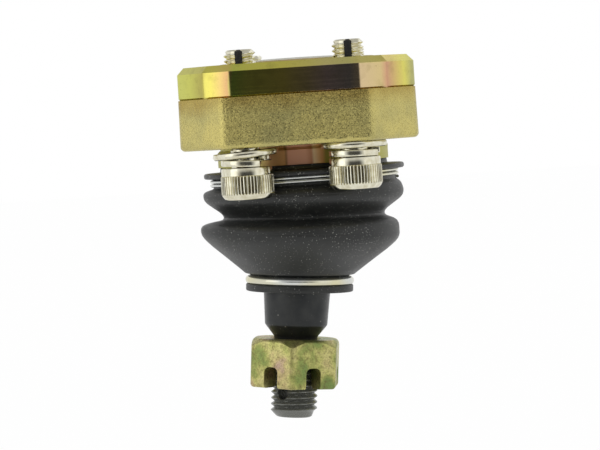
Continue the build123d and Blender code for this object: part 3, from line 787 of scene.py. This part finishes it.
put_down()
bpy.ops.mesh.primitive_cylinder_add(
    vertices=6, radius=nut_flats / sqrt(3) * mm, depth=(nut_end - nut_seat) * mm,
    location=(0, 0, -(nut_seat + nut_end) / 2 * mm))
nut = bpy.context.object
nut.name = "slotted_hexagon_nut"
bpy.ops.object.transform_apply()
first_corner = nut.data.vertices[0].co
nut.data.transform(Matrix.Rotation(corner_turn - atan2(first_corner.y, first_corner.x), 4, "Z"))
bpy.ops.object.select_all(action="DESELECT")
nut.select_set(True)
bpy.context.view_layer.objects.active = nut
for edge in nut.data.edges:
    ends = [nut.data.vertices[number].co for number in edge.vertices]
    edge.select = abs(ends[0].z - ends[1].z) > 1 * mm
bpy.ops.object.mode_set(mode="EDIT")
bpy.ops.mesh.select_mode(type="EDGE")
bpy.ops.mesh.bevel(offset=0.9 * mm, segments=5, affect="EDGES")
bpy.ops.mesh.select_mode(type="VERT")
bpy.ops.object.mode_set(mode="OBJECT")
corner = nut_flats / sqrt(3)
cut_with(nut, turned("nut_chamfer", [
    (10.75, -nut_seat), (corner + 0.1, -nut_seat - 2.2), (corner + 0.1, -nut_end + 0.8), (corner - 0.8, -nut_end),
], sides=180), "INTERSECT")
cut_with(nut, turned("nut_bore", [
    (nut_bore + 0.8, -nut_seat + 0.1), (nut_bore, -nut_seat - 0.8), (nut_bore, -nut_end + 0.8), (nut_bore + 0.9, -nut_end - 0.1),
], sides=96))
for number in range(3):
    put_down()
    bpy.ops.mesh.primitive_cube_add(size=1)
    slot = bpy.context.object
    slot.scale = (40 * mm, slot_width * mm, 2 * slot_depth * mm)
    slot.location = (0, 0, -nut_end * mm)
    bpy.ops.object.transform_apply()
    use_modifier(slot, "BEVEL", width=slot_round * mm, segments=5, limit_method="NONE")
    slot.data.transform(Matrix.Rotation(corner_turn + radians(30 + 60 * number), 4, "Z"))
    cut_with(nut, slot)
use_modifier(nut, "BEVEL", width=0.42 * mm, segments=4, limit_method="ANGLE", angle_limit=radians(28))
nut.data.transform(leaned(stud_lean) @ Matrix.Translation(ball))
smooth(nut, 40)
finished(nut, forged_zinc, "yellow_zinc_forged", "stud", "castle_nut")

# ---- Studio ------------------------------------------------------------------------------------
# A flat white floor, two large soft lamps at the sides and a third behind, with a dim room behind the
# camera that the polished faces pick up.

paper, nodes = new_finish("white_paper")
ray = {name: nodes.node("LightPath", output=name) for name in ("Is Camera Ray", "Is Glossy Ray", "Is Transmission Ray")}
seen = nodes.sum("MAXIMUM", nodes.sum("MAXIMUM", ray["Is Camera Ray"], ray["Is Glossy Ray"] * 0.8), ray["Is Transmission Ray"])
fibres = grain(nodes, 3.0, detail=4.0)
sheet = nodes.node("BsdfDiffuse", sockets={"Color": blended(nodes, fibres, tint(226, 226, 224), tint(232, 232, 230))})
glow = nodes.node("Emission", sockets={"Color": (1, 1, 1, 1), "Strength": 1.0})
nodes.node("OutputMaterial", sockets={"Surface": nodes.node("MixShader", sockets={0: seen * 0.985, 1: sheet, 2: glow})})

put_down()
bpy.ops.mesh.primitive_plane_add(size=4, location=(0, 1.6, -0.11))
floor = bpy.context.object
floor.name = "paper_floor"
bpy.ops.object.transform_apply()
floor.data.materials.append(paper)

world = bpy.data.worlds.new("studio")
bpy.context.scene.world = world
world.use_nodes = True
world.node_tree.nodes.clear()
nodes = Shade(world.node_tree)
direction = nodes.node("TexCoord", output="Generated")
to_camera = nodes.node("VectorMath", {"operation": "DOT_PRODUCT"}, {0: direction, 1: (0.0, -1.0, 0.0)}, output="Value")
height = nodes.node("SeparateXYZ", sockets={"Vector": direction}, output="Z")
walls = between(nodes, height, 0.30, 0.65, 0.92, 0.55)
unlit = between(nodes, to_camera, 0.72, 0.92) * between(nodes, height, 0.16, 0.34, 0.93, 0.15)
room = walls * (1 - unlit)
camera_ray = nodes.node("LightPath", output="Is Camera Ray")
background = nodes.node("Background", sockets={"Color": (1, 1, 1, 1), "Strength": room * (1 - camera_ray) + camera_ray})
nodes.node("OutputWorld", sockets={"Surface": background})


def soft_lamp(name, place, width, height, power):
    """A soft box that faces the object."""
    put_down()
    bpy.ops.object.light_add(type="AREA", location=place)
    lamp = bpy.context.object
    lamp.name = name
    lamp.data.shape = "RECTANGLE"
    lamp.data.size, lamp.data.size_y = width, height
    lamp.data.energy = power
    towards = Vector((0, 0, -0.04)) - Vector(place)
    lamp.rotation_euler = towards.to_track_quat("-Z", "Y").to_euler()


soft_lamp("lamp_left", (-1.05, -0.62, 0.25), 0.7, 1.1, 1.2)
soft_lamp("lamp_right", (1.05, -0.62, 0.25), 0.7, 1.1, 0.3)
soft_lamp("lamp_behind", (0.2, 0.9, 0.9), 0.9, 0.7, 1.0)

eye = Vector((18.653, -827.0, -13.192)) * mm
yaw, pitch, roll = radians(-1.425), radians(-1.991), radians(3.708)
ahead = Vector((sin(yaw) * cos(pitch), cos(yaw) * cos(pitch), sin(pitch)))
level_right = ahead.cross(Vector((0, 0, 1))).normalized()
level_up = level_right.cross(ahead)
right = level_right * cos(roll) - level_up * sin(roll)
up = level_up * cos(roll) + level_right * sin(roll)
put_down()
bpy.ops.object.camera_add(location=eye, rotation=Matrix((right, up, -ahead)).transposed().to_euler())
camera = bpy.context.object
camera.data.sensor_width = 36
camera.data.lens = 192
camera.data.clip_start = 0.01
bpy.context.scene.camera = camera
bpy.context.scene.view_settings.view_transform = "Standard"
